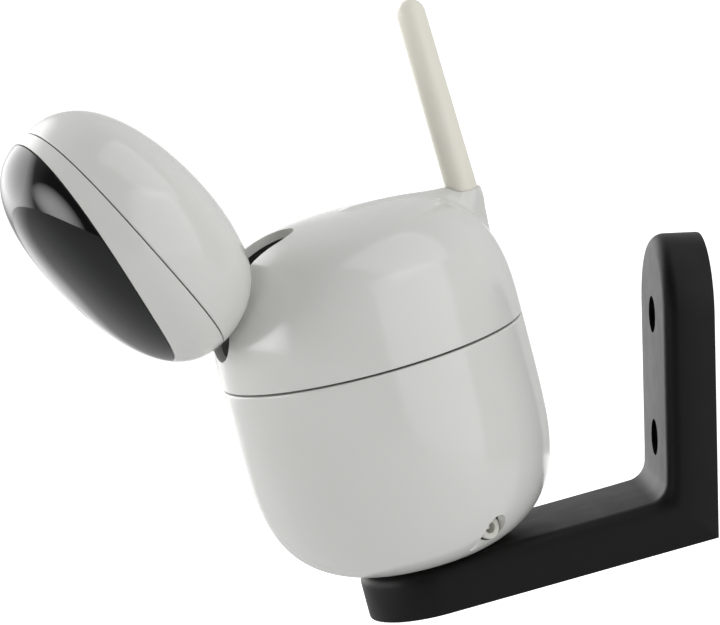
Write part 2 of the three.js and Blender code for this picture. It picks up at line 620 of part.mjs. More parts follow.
function buildNeck() {
  const beam = neckFrame(block([-NECK_W / 2, 3, -NECK_H / 2], [NECK_W / 2, FLANGE_AT + 0.5, NECK_H / 2]));
  const hub = crosswise(tube(5.4, 0, 0, NECK_W, SOME), -NECK_W / 2, 0, TILT_Z);
  const bore = crosswise(tube(2.3, 0, -1, NECK_W + 1, SOME), -NECK_W / 2, 0, TILT_Z);
  const flange = neckFrame(block([-11, FLANGE_AT, -7], [11, FLANGE_AT + FLANGE_T, 7]));
  const holes = NECK_SCREWS.map((x) =>
    neckFrame(block([x - 1.3, FLANGE_AT - 1, -1.3], [x + 1.3, FLANGE_AT + 4, 1.3])),
  );
  node(turret, "tilt_arm", cut(join(beam, hub, flange), bore, ...holes), NATURAL);
  node(turret, "tilt_axle", crosswise(tube(1.9, 0, 0, 2 * CRADLE_OUT, SOME), -CRADLE_OUT, 0, TILT_Z), STEEL);
  const wheel = gear(TILT_TEETH, GEAR_T, 2.2).rotateZ(TILT_PINION_DIR);
  node(turret, "tilt_gear", crossGear(wheel, 0, TILT_Z), NATURAL);
}

// The curved shield that closes the slot above the neck and tilts with it.
function buildCurtain() {
  const thick = 1.4;
  const half = 11.5;
  const [from, to] = [2 * DEG, 79 * DEG];
  const sector = new THREE.Shape();
  sector.absarc(0, 0, CURTAIN_R, from, to, false);
  sector.absarc(0, 0, CURTAIN_R - thick, to, from, true);
  sector.closePath();
  const matrix = new THREE.Matrix4().makeBasis(
    new THREE.Vector3(0, -1, 0),
    new THREE.Vector3(0, 0, 1),
    new THREE.Vector3(-1, 0, 0),
  );
  matrix.setPosition(half, 0, TILT_Z);
  const strip = solid(push(sector, 2 * half).applyMatrix4(matrix));
  const [wide, high] = [NECK_W / 2 + GAP, NECK_H / 2 + GAP];
  const hole = neckFrame(block([-wide, CURTAIN_R - 6, -high], [wide, CURTAIN_R + 4, high]));
  node(turret, "slot_curtain", cut(strip, hole), GREY);
}

// The head's outer or inner form about -Y, shrunk by a wall.
function headForm(inset) {
  const front = quarter(HEAD_R - inset, HEAD_FRONT - inset, FRONT_POWER, 0, 90, 5);
  const back = quarter(HEAD_R - inset, HEAD_BACK - inset, BACK_POWER, 0, 90, 5);
  const profile = [...back.reverse().map(([r, z]) => [r, -z]), ...front.slice(1)];
  return solid(turn(profile).rotateX(Math.PI / 2));
}

// Everything in front of a plane across the head, at a distance in front of its widest section.
const aheadOf = (distance) => solid(block([-60, -90, -60], [60, -distance, 60]));
const tilted = (body) => moved(body, [0, 0, 0], [-FACE_TILT, 0, 0]);

// A ball about the tilt axle, in the head's frame.
function axleBall(radius) {
  const centre = new THREE.Vector3(0, 0, TILT_Z).sub(new THREE.Vector3(...HEAD_AT));
  centre.applyAxisAngle(new THREE.Vector3(1, 0, 0), -PITCH);
  return solid(new THREE.SphereGeometry(radius, 30, 18).translate(...centre));
}

// A hole through the head for the neck, in the head's frame.
function neckHole() {
  const room = GAP + 0.2;
  const [wide, high] = [NECK_W / 2 + room, NECK_H / 2 + room];
  const beam = block([-wide, 30, -high], [wide, FLANGE_AT, high]);
  const toHead = new THREE.Matrix4().makeRotationX(-PITCH).multiply(
    new THREE.Matrix4().makeTranslation(...HEAD_AT.map((value) => -value)),
  );
  return solid(geometryOf(neckFrame(beam)).applyMatrix4(toHead));
}

function buildHeadShells() {
  const whole = headForm(0);
  const room = headForm(HEAD_WALL);
  const ball = axleBall(SADDLE_R);
  const cavity = cut(room, axleBall(SADDLE_R + HEAD_WALL));
  const skin = cut(whole, cavity, ball);
  const rear = cut(skin, aheadOf(HEAD_SEAM), neckHole());
  node(head, "head_rear_shell", rear, WHITE);
  const bezel = cut(skin.intersect(aheadOf(HEAD_SEAM + GAP)), tilted(aheadOf(FACE_EDGE)));
  node(head, "head_front_bezel", bezel, WHITE);
}

const IR_LED_R = 14.2; // circle of the infrared lights
const IR_LEDS_AT = [45, 135, 225, 315];
const BARREL_R = 7.6;
const MIC_SLITS = [[-8, -10.5], [-8, -16.7]]; // across and up from the middle of the face

const onCircle = (degrees, r) => [r * Math.cos(degrees * DEG), r * Math.sin(degrees * DEG)];

// A rod along the face's -Y at a point across it.
const rod = (r, low, high, [x, z] = [0, 0]) =>
  solid(tube(r, 0, low, high).rotateX(Math.PI / 2).translate(x, 0, z));

// The black cover carries on the head's form, as one thin gloss skin with two microphone slits.
function buildCover() {
  const form = headForm(0).subtract(headForm(COVER_T));
  const skin = moved(form, [0, 0, 0], [FACE_TILT, 0, 0]).intersect(aheadOf(FACE_EDGE + GAP));
  const slits = MIC_SLITS.map(([x, z]) => {
    return solid(new THREE.BoxGeometry(0.8, 12, 4.6).translate(x, -HEAD_FRONT, z));
  });
  node(face, "face_cover", cut(skin, ...slits), GLOSS_BLACK);
}

// The mask behind the cover, open for the lens and the infrared lights.
function buildMask() {
  const plate = solid(tube(MASK_R, 0, MASK_AT, MASK_AT + MASK_T, SIDES).rotateX(Math.PI / 2));
  const openings = [
    rod(BARREL_R + 3 * GAP, MASK_AT - 1, MASK_AT + MASK_T + 1),
    ...IR_LEDS_AT.map((degrees) =>
      rod(2.9, MASK_AT - 1, MASK_AT + MASK_T + 1, onCircle(degrees, IR_LED_R)),
    ),
  ];
  node(face, "face_mask", cut(plate, ...openings), BLACK);
  const foot = MASK_AT + MASK_T + GAP;
  const ring = tube(10.4, BARREL_R + 2 * GAP, foot, foot + 1, SIDES).rotateX(Math.PI / 2);
  node(face, "lens_ring", solid(ring), BLUE_BLACK);
}

function buildOptics() {
  const barrel = turn([[0, 3.8], [9, 3.8], [9, 8], [BARREL_R, 8], [BARREL_R, 14], [5.2, 14], [5.2, 11],
    [0, 11]], SOME);
  node(face, "lens_barrel", solid(barrel.rotateX(Math.PI / 2)), BLACK);
  const glass = turn([[0, 11.3], [4.9, 11.3], [4.9, 12.6], [3, 13.4], [0, 13.7]], SOME);
  node(face, "lens_glass", solid(glass.rotateX(Math.PI / 2)), GLASS);
  node(face, "sensor_board", solid(tube(17, 0, 1.9, 3.5, SOME).rotateX(Math.PI / 2)), BOARD);
  node(face, "ir_board", solid(tube(19.5, 9.3, 8.6, 9.8, SOME).rotateX(Math.PI / 2)), BOARD);
  IR_LEDS_AT.forEach((degrees, i) => {
    const led = turn([[0, 10.1], [2.5, 10.1], [2.5, 12], [1.6, 13.2], [0, 13.6]], FEW).rotateX(Math.PI / 2);
    const [x, z] = onCircle(degrees, IR_LED_R);
    node(face, "ir_led_" + (i + 1), solid(led.translate(x, 0, z)), GLASS);
  });
  const capsule = tube(3, 0, 4.5, 8).rotateX(Math.PI / 2).translate(-11, 0, -19);
  node(face, "microphone", solid(capsule), STEEL);
  NECK_SCREWS.forEach((x, i) => {
    const fastener = geometryOf(screw(2, 1.3, 1, 1)).rotateX(-Math.PI / 2);
    const seated = fastener.translate(x, FLANGE_AT + FLANGE_T + GAP, 0);
    node(turret, "neck_screw_" + (i + 1), neckFrame(seated), STEEL);
  });
}

buildBracket();
buildBaseShell();
buildBasePlate();
buildDeck();
buildBaseInside();
buildButton();
buildUpperShell();
buildAntenna();
buildTurntable();
buildPanPinion();
buildCradle();
buildTiltPinion();
buildTurretBoards();
buildNeck();
buildCurtain();
buildHeadShells();
buildCover();
buildMask();
buildOptics();

export default camera;
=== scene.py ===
"""Looks of the baby monitor camera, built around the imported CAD. Lengths are millimetres until placed."""

import json
import math

import bmesh
import bpy
import numpy as np
from mathutils import Matrix, Vector


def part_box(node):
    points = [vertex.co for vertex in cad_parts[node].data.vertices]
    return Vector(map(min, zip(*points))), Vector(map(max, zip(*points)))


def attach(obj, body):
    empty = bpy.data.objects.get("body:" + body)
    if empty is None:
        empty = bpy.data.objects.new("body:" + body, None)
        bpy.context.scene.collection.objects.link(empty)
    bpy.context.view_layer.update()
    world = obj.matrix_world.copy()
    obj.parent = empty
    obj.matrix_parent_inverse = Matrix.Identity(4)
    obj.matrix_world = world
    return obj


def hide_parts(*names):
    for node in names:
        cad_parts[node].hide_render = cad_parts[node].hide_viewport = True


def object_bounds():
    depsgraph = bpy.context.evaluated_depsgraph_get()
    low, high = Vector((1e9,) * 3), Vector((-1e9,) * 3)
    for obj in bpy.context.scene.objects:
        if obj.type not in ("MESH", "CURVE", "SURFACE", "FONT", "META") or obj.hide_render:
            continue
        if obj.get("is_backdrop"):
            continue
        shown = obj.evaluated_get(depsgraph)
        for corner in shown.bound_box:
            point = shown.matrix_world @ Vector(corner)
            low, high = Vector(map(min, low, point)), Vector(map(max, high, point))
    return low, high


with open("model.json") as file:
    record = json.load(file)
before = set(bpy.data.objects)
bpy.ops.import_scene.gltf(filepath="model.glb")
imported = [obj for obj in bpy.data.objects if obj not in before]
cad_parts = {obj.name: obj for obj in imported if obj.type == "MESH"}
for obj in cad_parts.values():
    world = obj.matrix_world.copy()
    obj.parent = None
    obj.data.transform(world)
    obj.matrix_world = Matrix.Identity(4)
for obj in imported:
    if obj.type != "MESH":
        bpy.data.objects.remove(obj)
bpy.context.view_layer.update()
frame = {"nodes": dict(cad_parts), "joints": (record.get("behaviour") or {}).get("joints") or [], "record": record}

MM = 0.001
SIDES = 144  # facets round a large shell

# ---------- driving dimensions, as in the CAD ----------
BODY_R = 42.0
DOME_H = 38.2
DOME_POWER = 3.09
BASE_H = 58.4
WALL = 2.2
GAP = 0.3
ARM_W = 41.0
ARM_T = 13.6
ARM_LOW = 95.8
ARM_UP = 80.8
CORNER_BACK = 76.4
HEAD_R = 38.0
HEAD_FRONT, FRONT_POWER = 21.6, 2.62
HEAD_BACK, BACK_POWER = 22.7, 2.46
HEAD_AT = (0, -58, 49)
PITCH = math.radians(27.5)
FACE_TILT = math.radians(6)
TILT_Z = 10.0
SADDLE_R = 43.7
NECK_UP = math.radians(20)
NECK_W, NECK_H = 11.0, 8.0
SLOT_W, SLOT_LOW, SLOT_BACK = 16.0, 9.0, 13.0
ANTENNA_Y, ANTENNA_FOOT, ANTENNA_TOP = 36.9, 30.5, 88.0
ANTENNA_LEAN = math.radians(1.7)
COVER_T = 1.6
MIC_SLITS = ((-8, -10.5), (-8, -16.7))  # across and up from the middle of the face
LEAN = math.radians(13)
BEND_FILLET = 7.0
WALL_HOLES = (ARM_UP - 22, ARM_UP - 56)  # up the wall arm from the corner
BORE_R, RECESS_R, RECESS_H = 3.4, 6.6, 5.2  # for the screw under the bottom arm
PLATE_R, PLATE_SEAT_R, PLATE_SEAT = 20.3, 16.0, 2.3
JACK_AT, JACK_OUT, JACK_Z = 122, 30, -50.6  # degrees from the front, out from the axis, up
JACK_R = 3.1
SCOOP_OUT, SCOOP_END_R, SCOOP_RUN = 34.6, 1.2, (-4.6, -4.6, -6.4)
KEY_AT, KEY_Z, KEY_R = 235, -30, 3.2
SPEAKER_Z = -30

# ---------- frames ----------
joints = {joint["name"]: joint for joint in frame["joints"]}


def axes(origin, x_axis, z_axis):
    """A frame from an origin and two of its axes, taking millimetres to the row frame."""
    x, z = Vector(x_axis).normalized(), Vector(z_axis).normalized()
    turned = Matrix((x, z.cross(x), z)).transposed().to_4x4()
    return Matrix.Translation(Vector(origin)) @ turned @ Matrix.Scale(MM, 4)


def shifted(parent, offset, x_turn=0.0):
    return parent @ Matrix.Translation(Vector(offset)) @ Matrix.Rotation(x_turn, 4, "X")


PAN = joints["pan"]
BASE = axes(PAN["pos_m"], (1, 0, 0), PAN["axis"])
TURRET = axes(PAN["pos_m"], joints["tilt"]["axis"], PAN["axis"])
HEAD = shifted(TURRET, HEAD_AT, PITCH)
FACE = shifted(HEAD, (0, 0, 0), -FACE_TILT)
ANTENNA = shifted(TURRET, (0, ANTENNA_Y, ANTENNA_FOOT), ANTENNA_LEAN)
NECK = shifted(TURRET, (0, 0, TILT_Z), -NECK_UP)


# ---------- mesh tools ----------
def circles(profile, sides=SIDES):
    """Rings of points for a body of revolution, one ring per [radius, height] of the profile."""
    angles = np.linspace(0, 2 * np.pi, sides, endpoint=False)
    rings = []
    for r, height in profile:
        rings.append(np.stack([r * np.cos(angles), r * np.sin(angles), np.full(sides, float(height))], -1))
    return rings


def rounded(rings, radius, steps=4):
    """The same rings with every corner between them rounded."""
    out = [rings[0]]
    for before, corner, after in zip(rings, rings[1:], rings[2:]):
        back, on = before - corner, after - corner
        back_length = np.maximum(np.linalg.norm(back, axis=1, keepdims=True), 1e-9)
        on_length = np.maximum(np.linalg.norm(on, axis=1, keepdims=True), 1e-9)
        reach = np.minimum(radius, 0.45 * np.minimum(back_length, on_length))
        start, end = corner + back / back_length * reach, corner + on / on_length * reach
        for t in np.linspace(0, 1, steps + 1):
            out.append((1 - t) ** 2 * start + 2 * t * (1 - t) * corner + t**2 * end)
    out.append(rings[-1])
    return out


def skin(name, rings, place, ring_closes=False):
    """A closed mesh through rings of equal length; ring_closes joins the last ring to the first."""
    count, sides = len(rings), len(rings[0])
    points = np.concatenate(rings)
    faces = []
    for i in range(count if ring_closes else count - 1):
        low, high = i * sides, (i + 1) % count * sides
        for j in range(sides):
            k = (j + 1) % sides
            faces.append((low + j, low + k, high + k, high + j))
    mesh = bpy.data.meshes.new(name)
    mesh.from_pydata([place @ Vector(p) for p in points], [], faces)
    tidy = bmesh.new()
    tidy.from_mesh(mesh)
    bmesh.ops.remove_doubles(tidy, verts=tidy.verts, dist=1e-7)
    bmesh.ops.dissolve_degenerate(tidy, edges=tidy.edges, dist=1e-8)
    bmesh.ops.holes_fill(tidy, edges=tidy.edges)
    bmesh.ops.recalc_face_normals(tidy, faces=tidy.faces)
    tidy.to_mesh(mesh)
    tidy.free()
    obj = bpy.data.objects.new(name, mesh)
    bpy.context.scene.collection.objects.link(obj)
    return obj


def box_rings(low, high):
    """Rings of a plain box from its low and high corners."""
    (x0, y0, z0), (x1, y1, z1) = low, high
    corners = [(x0, y0), (x1, y0), (x1, y1), (x0, y1)]
    return [np.array([(x, y, z) for x, y in corners], float) for z in (z0, z1)]


def carve(obj, *tools):
    """Cuts the tools out of obj one after the other, and removes them."""
    for tool in tools:
        modifier = obj.modifiers.new("cut", "BOOLEAN")
        modifier.operation = "DIFFERENCE"
        modifier.object = tool
        modifier.solver = "EXACT"
        graph = bpy.context.evaluated_depsgraph_get()
        made = bpy.data.meshes.new_from_object(obj.evaluated_get(graph))
        obj.modifiers.clear()
        obj.data = made
        bpy.data.objects.remove(tool)
    return obj


def shade(obj, angle=35):
    """Smooth shading, with edges sharper than the angle kept."""
    for face in obj.data.polygons:
        face.use_smooth = True
    obj.data.set_sharp_from_angle(angle=math.radians(angle))


# ---------- materials ----------
def graph_of(name):
    material = bpy.data.materials.new(name)
    material.use_nodes = True
    nodes, links = material.node_tree.nodes, material.node_tree.links
    return material, nodes, links, nodes["Principled BSDF"]


def noise(nodes, links, scale, detail=3.0, stretch=(1, 1, 1)):
    """A noise texture in object space; scale is in features per metre."""
    where = nodes.new("ShaderNodeTexCoord")
    mapping = nodes.new("ShaderNodeMapping")
    mapping.inputs["Scale"].default_value = stretch
    texture = nodes.new("ShaderNodeTexNoise")
    texture.inputs["Scale"].default_value = scale
    texture.inputs["Detail"].default_value = detail
    links.new(where.outputs["Object"], mapping.inputs["Vector"])
    links.new(mapping.outputs["Vector"], texture.inputs["Vector"])
    return texture.outputs["Fac"]


def remapped(nodes, links, value, low, high, from_low=0.3, from_high=0.7):
    node = nodes.new("ShaderNodeMapRange")
    node.inputs["From Min"].default_value = from_low
    node.inputs["From Max"].default_value = from_high
    node.inputs["To Min"].default_value = low
    node.inputs["To Max"].default_value = high
    links.new(value, node.inputs["Value"])
    return node.outputs["Result"]


def tinted(nodes, links, factor, first, second):
    mix = nodes.new("ShaderNodeMix")
    mix.data_type = "RGBA"
    mix.inputs["A"].default_value = (*first, 1)
    mix.inputs["B"].default_value = (*second, 1)
    links.new(factor, mix.inputs["Factor"])
    return mix.outputs["Result"]


def bumped(nodes, links, height, strength, distance, normal=None):
    bump = nodes.new("ShaderNodeBump")
    bump.inputs["Strength"].default_value = strength
    bump.inputs["Distance"].default_value = distance * MM
    links.new(height, bump.inputs["Height"])
    if normal is not None:
        links.new(normal, bump.inputs["Normal"])
    return bump.outputs["Normal"]


def plastic(name, color, shade_color, rough, grain=(900, 0.08, 0.02), wave=(60, 0.04, 0.4), coat=0.0,
            metallic=0.0, stretch=(1, 1, 1), specular=0.5):
    """A moulded or metal surface: slow colour drift, uneven gloss, fine grain and a slight waviness."""
    material, nodes, links, shader = graph_of(name)
    drift = noise(nodes, links, 35, 4)
    links.new(tinted(nodes, links, remapped(nodes, links, drift, 0, 1), color, shade_color),
              shader.inputs["Base Color"])
    patches = noise(nodes, links, 140, 5, stretch)
    links.new(remapped(nodes, links, patches, rough * 0.94, min(rough * 1.06, 1)), shader.inputs["Roughness"])
    shader.inputs["Metallic"].default_value = metallic
    shader.inputs["Specular IOR Level"].default_value = specular
    shader.inputs["Coat Weight"].default_value = coat
    shader.inputs["Coat Roughness"].default_value = 0.03
    wavy = bumped(nodes, links, noise(nodes, links, wave[0], 2), wave[1], wave[2])
    fine = bumped(nodes, links, noise(nodes, links, grain[0], 4, stretch), grain[1], grain[2], wavy)
    links.new(fine, shader.inputs["Normal"])
    return material


def circuit_board():
    """Green solder mask with paler copper tracks under it."""
    material, nodes, links, shader = graph_of("circuit_board")
    where = nodes.new("ShaderNodeTexCoord")
    cells = nodes.new("ShaderNodeTexVoronoi")
    cells.distance = "CHEBYCHEV"
    cells.feature = "F1"
    cells.inputs["Scale"].default_value = 300
    links.new(where.outputs["Object"], cells.inputs["Vector"])
    tracks = remapped(nodes, links, cells.outputs["Distance"], 0, 1, 0.35, 0.5)
    links.new(tinted(nodes, links, tracks, (0.02, 0.1, 0.05), (0.08, 0.3, 0.14)), shader.inputs["Base Color"])
    links.new(bumped(nodes, links, tracks, 0.2, 0.05), shader.inputs["Normal"])
    links.new(remapped(nodes, links, noise(nodes, links, 400), 0.3, 0.5), shader.inputs["Roughness"])
    return material


def clear(name, color, share, rough):
    """Smoked or coated clear plastic: a polished dark surface that lets a share of the light through."""
    material = plastic(name, color, tuple(0.6 * c for c in color), rough, (1200, 0.01, 0.01), (50, 0.02, 0.2))
    nodes, links = material.node_tree.nodes, material.node_tree.links
    through = nodes.new("ShaderNodeBsdfTransparent")
    mix = nodes.new("ShaderNodeMixShader")
    mix.inputs["Fac"].default_value = share
    links.new(nodes["Principled BSDF"].outputs["BSDF"], mix.inputs[1])
    links.new(through.outputs["BSDF"], mix.inputs[2])
    links.new(mix.outputs["Shader"], nodes["Material Output"].inputs["Surface"])
    return material


MATERIALS = {
    "white_shell": plastic("white_shell", (0.76, 0.765, 0.735), (0.745, 0.75, 0.72), 0.16, (900, 0.03, 0.02),
                           (60, 0.03, 0.3), coat=0.1),
    "cream_sleeve": plastic("cream_sleeve", (0.90, 0.88, 0.78), (0.87, 0.85, 0.75), 0.34, (700, 0.12, 0.03)),
    "black_bracket": plastic("black_bracket", (0.003, 0.003, 0.003), (0.0034, 0.0034, 0.0034), 0.46,
                             (1100, 0.08, 0.02), (40, 0.0, 0.1), specular=0.22),
    "black_face": clear("black_face", (0.004, 0.004, 0.005), 0.05, 0.04),
    "blue_black_ring": plastic("blue_black_ring", (0.006, 0.010, 0.10), (0.012, 0.016, 0.16), 0.10, coat=0.6),
    "lens_glass": clear("lens_glass", (0.02, 0.02, 0.05), 0.3, 0.04),
    "black_plastic": plastic("black_plastic", (0.015, 0.015, 0.015), (0.025, 0.025, 0.025), 0.5),
    "grey_plastic": plastic("grey_plastic", (0.40, 0.42, 0.38), (0.36, 0.38, 0.345), 0.55,
                            (800, 0.2, 0.04)),
    "natural_plastic": plastic("natural_plastic", (0.72, 0.71, 0.66), (0.66, 0.65, 0.60), 0.5),
    "rubber": plastic("rubber", (0.012, 0.012, 0.012), (0.022, 0.022, 0.022), 0.85, (600, 0.5, 0.06)),
    "steel": plastic("steel", (0.55, 0.56, 0.57), (0.45, 0.46, 0.47), 0.3, (700, 0.2, 0.02), metallic=1.0,
                     stretch=(1, 1, 12)),
    "brass": plastic("brass", (0.62, 0.45, 0.18), (0.50, 0.36, 0.14), 0.35, metallic=1.0),
    "circuit_board": circuit_board(),
}


def finished(obj, slot_name, body, *stands_for, angle=35):
    """Gives a built piece its shading, material and body, and hides the CAD nodes it stands for."""
    shade(obj, angle)
    obj.data.materials.clear()
    obj.data.materials.append(MATERIALS[slot_name])
    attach(obj, body)
    if stands_for:
        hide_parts(*stands_for)
    return obj


# ---------- wall bracket ----------
def bent(station, x, height):
    """A point of the bracket from its place along the unrolled strip, across it and above its outer face."""
    between = math.pi / 2 + LEAN
    reach = (ARM_T + BEND_FILLET) / math.tan(between / 2)
    share = height / ARM_T
    # Side view from the outer corner: +s along the low arm, +t up its thickness.
    up = np.array([math.cos(between), math.sin(between)])
    across = np.array([up[1], -up[0]])
    along = ARM_LOW - station
    if along >= reach:
        s, t = along, height
    elif along <= -reach:
        s, t = up * -along + across * height
    else:
        outer = np.array([max(along, 0), 0]) if along > 0 else up * -along
        low_end = np.array([reach, ARM_T])
        up_end = up * reach + across * ARM_T
        bend = np.array([ARM_T / math.tan(between / 2), ARM_T])
        k = (reach - along) / (2 * reach)
        inner = (1 - k) ** 2 * low_end + 2 * k * (1 - k) * bend + k**2 * up_end
        s, t = (1 - share) * outer + share * inner
    return x, CORNER_BACK - s, -BASE_H - ARM_T + t


def bracket_rings():
    """Sections of the unrolled strip from one round end to the other, bent into place."""
    half, edge, crease = ARM_W / 2, 4.0, 0.5
    total = ARM_LOW + ARM_UP
    quarter = np.radians(np.linspace(0, 90, 9))
    levels = [(crease * (1 - math.sin(a)), crease * (1 - math.cos(a))) for a in quarter[::4]]
    levels += [(edge * (1 - math.cos(a)), ARM_T - edge + edge * math.sin(a)) for a in quarter]

    def section(station, reach):
        right = [bent(station(inset), reach(inset), height) for inset, height in levels]
        left = [bent(station(inset), -reach(inset), height) for inset, height in reversed(levels)]
        return np.array(right + left)

    near_bend, past_bend = ARM_LOW - 12, ARM_LOW + 12
    straight = np.concatenate([np.linspace(half, near_bend, 8), np.linspace(near_bend + 1, past_bend - 1, 23),
                               np.linspace(past_bend, total - half, 8)])[1:-1]
    ends = np.radians(np.linspace(0, 90, 25))
    rings = [section(lambda i: half - (half - i) * math.cos(a), lambda i: (half - i) * math.sin(a))
             for a in ends]
    rings += [section(lambda i: station, lambda i: half - i) for station in straight]
    rings += [section(lambda i: total - half + (half - i) * math.cos(a), lambda i: (half - i) * math.sin(a))
              for a in ends[::-1]]
    return rings


def cutter(name, r, low, high, place, sides=48):
    """A plain round cutter between two heights."""
    return skin(name, circles([[0, low], [r, low], [r, high], [0, high]], sides), place)


def wall_hole(height):
    """A countersunk hole through the wall arm."""
    profile = [[0, -1], [2.4, -1], [2.4, ARM_T - 4], [5, ARM_T - 1.4], [5, ARM_T + 1], [0, ARM_T + 1]]
    back_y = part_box("wall_bracket")[1].y / MM
    wall = Matrix.Scale(MM, 4) @ Matrix.Translation((0, back_y, height - ARM_UP / 2))
    return skin("hole", circles(profile, 48), wall @ Matrix.Rotation(math.pi / 2, 4, "X"))


def bracket():
    """One moulded strip with round ends, its inner edges rounded and a fillet in the bend."""
    strip = skin("bracket_body", bracket_rings(), BASE)
    under = -BASE_H - ARM_T
    bore = cutter("bore", BORE_R, under - 1, -BASE_H + 1, BASE)
    recess = cutter("recess", RECESS_R, under - 1, under + RECESS_H, BASE, 64)
    carve(strip, bore, recess, *[wall_hole(height) for height in WALL_HOLES])
    finished(strip, "black_bracket", "base", "wall_bracket", angle=40)


# ---------- base ----------
def base_radius(depth):
    return BODY_R * (1 - (depth / (1.038 * BASE_H)) ** 4.76) ** (1 / 2.6)


def outward(degrees, r, z):
    """A frame on the base whose Z points outwards at an angle from the front."""
    return BASE @ Matrix.Rotation(math.radians(degrees), 4, "Z") @ Matrix.Translation((0, -r, z)) @ \
        Matrix.Rotation(math.pi / 2, 4, "X")


def drop(name, big, small, run, place):
    """A cutter like a drawn-out drop: a ball that narrows to a smaller one at the end of the run."""
    along = Vector(run)
    touch = math.asin((big - small) / along.length)
    profile = [[big * math.cos(t), big * math.sin(t)] for t in np.linspace(-math.pi / 2, touch, 12)]
    profile += [[small * math.cos(t), along.length + small * math.sin(t)]
                for t in np.linspace(touch, math.pi / 2, 10)]
    facing = along.to_track_quat("Z", "Y").to_matrix().to_4x4()
    return skin(name, circles(profile, 64), place @ facing)


def speaker_slit(place):
    """One of the five slits of the speaker; the outer ones are shorter."""
    x, half = place * 3.6, 7 - abs(place) * 1.2
    low, high = (x - 0.8, 32, SPEAKER_Z - half), (x + 0.8, BODY_R + 4, SPEAKER_Z + half)
    return skin("slit", box_rings(low, high), BASE)


def base_shell():
    depths = GAP + (BASE_H - 2 * GAP) * np.sin(np.linspace(0, np.pi / 2, 40)) ** 0.8
    outer = [[base_radius(depth), -depth] for depth in depths]
    inside = [[r - WALL, min(z + WALL * (-z / BASE_H) ** 3, -GAP)] for r, z in outer]
    foot = -BASE_H + PLATE_SEAT + GAP
    mouth = [[PLATE_R + GAP, -BASE_H + GAP], [PLATE_R + GAP, foot], [PLATE_SEAT_R, foot],
             [PLATE_SEAT_R, foot + 2]]
    closed = circles(outer + mouth + inside[::-1])
    rim = rounded([closed[-1], closed[0], closed[1]], 0.5)[1:-1]
    shell = skin("base_housing", rim + closed[1:], BASE, ring_closes=True)
    hole_r = JACK_R + GAP
    jack_hole = cutter("jack_hole", hole_r, -5, 16, outward(JACK_AT, JACK_OUT, JACK_Z))
    scoop = drop("scoop", hole_r, SCOOP_END_R, SCOOP_RUN, outward(JACK_AT, SCOOP_OUT, JACK_Z))
    key_hole = cutter("key_hole", KEY_R + GAP, -6, 6, outward(KEY_AT, BODY_R, KEY_Z))
    slits = [speaker_slit(place) for place in (-2, -1, 0, 1, 2)]
    finished(carve(shell, jack_hole, scoop, key_hole, *slits), "white_shell", "base", "base_shell")


def power_key():
    back = -3.2
    profile = [[0, back], [KEY_R, back], [KEY_R, 1.4], [2.6, 1.9], [0, 1.6]]
    cap = rounded(circles(profile, 64), 0.3)
    finished(skin("power_key_cap", cap, outward(KEY_AT, BODY_R - 1.5, KEY_Z)), "grey_plastic", "power_key",
             "power_button")


def power_inlet():
    body_r, bore_r, pin_r = 2.7, 1.6, 0.6
    profile = [[0, -8], [body_r, -8], [body_r, 0], [JACK_R, 0], [JACK_R, 1.6], [bore_r, 1.6], [bore_r, -6.4],
               [pin_r, -6.4], [pin_r, 0.6], [0, 0.6]]
    jack = rounded(circles(profile, 64), 0.2)
    inlet = skin("power_inlet", jack, outward(JACK_AT, JACK_OUT, JACK_Z))
    finished(inlet, "natural_plastic", "base", "dc_jack")


# ---------- turret ----------
def smooth_least(a, b, blend):
    """The lesser of two distances with a soft join of the given width."""
    h = np.clip(0.5 + 0.5 * (b - a) / blend, 0, 1)
    return b + (a - b) * h - blend * h * (1 - h)


def dome_distance(points):
    """Rough distance to the plain dome."""
    x, y, z = points.T
    across = (x**2 + y**2) ** (DOME_POWER / 2) / BODY_R**DOME_POWER
    upright = (np.maximum(z, 0) / DOME_H) ** DOME_POWER
    return ((across + upright) ** (1 / DOME_POWER) - 1) * BODY_R


def boss_distance(points):
    """Distance to the round boss that holds the antenna, thinner further down."""
    x, y, z = points.T
    height = z - ANTENNA_FOOT
    from_axis = np.hypot(x, y - (ANTENNA_Y - height * math.tan(ANTENNA_LEAN)))
    return np.maximum(from_axis - (5.0 + 0.08 * np.minimum(height, 0)), height - 3.2)


def ridge_distance(points):
    """Distance to the soft ridge that runs back over the dome to the boss."""
    x, y, z = points.T
    start_y = 6
    t = np.clip((y - start_y) / (ANTENNA_Y - start_y), 0, 1)
    spine_y = start_y + t * (ANTENNA_Y - start_y)
    spine_z = 33.6 - 2.4 * t
    return np.sqrt(x**2 + (y - spine_y) ** 2 + (z - spine_z) ** 2) - (4.2 + 0.4 * t)


def turret_distance(points):
    """Rough distance to the dome with its ridge and antenna boss."""
    ridged = smooth_least(dome_distance(points), ridge_distance(points), 3.0)
    return smooth_least(ridged, boss_distance(points), 1.6)


def turret_surface(directions, centre):
    """Where rays from the centre leave the turret."""
    near, far = np.full(len(directions), 5.0), np.full(len(directions), 75.0)
    for _ in range(40):
        middle = (near + far) / 2
        inside = turret_distance(centre + directions * middle[:, None]) < 0
        near, far = np.where(inside, middle, near), np.where(inside, far, middle)
    return centre + directions * near[:, None]


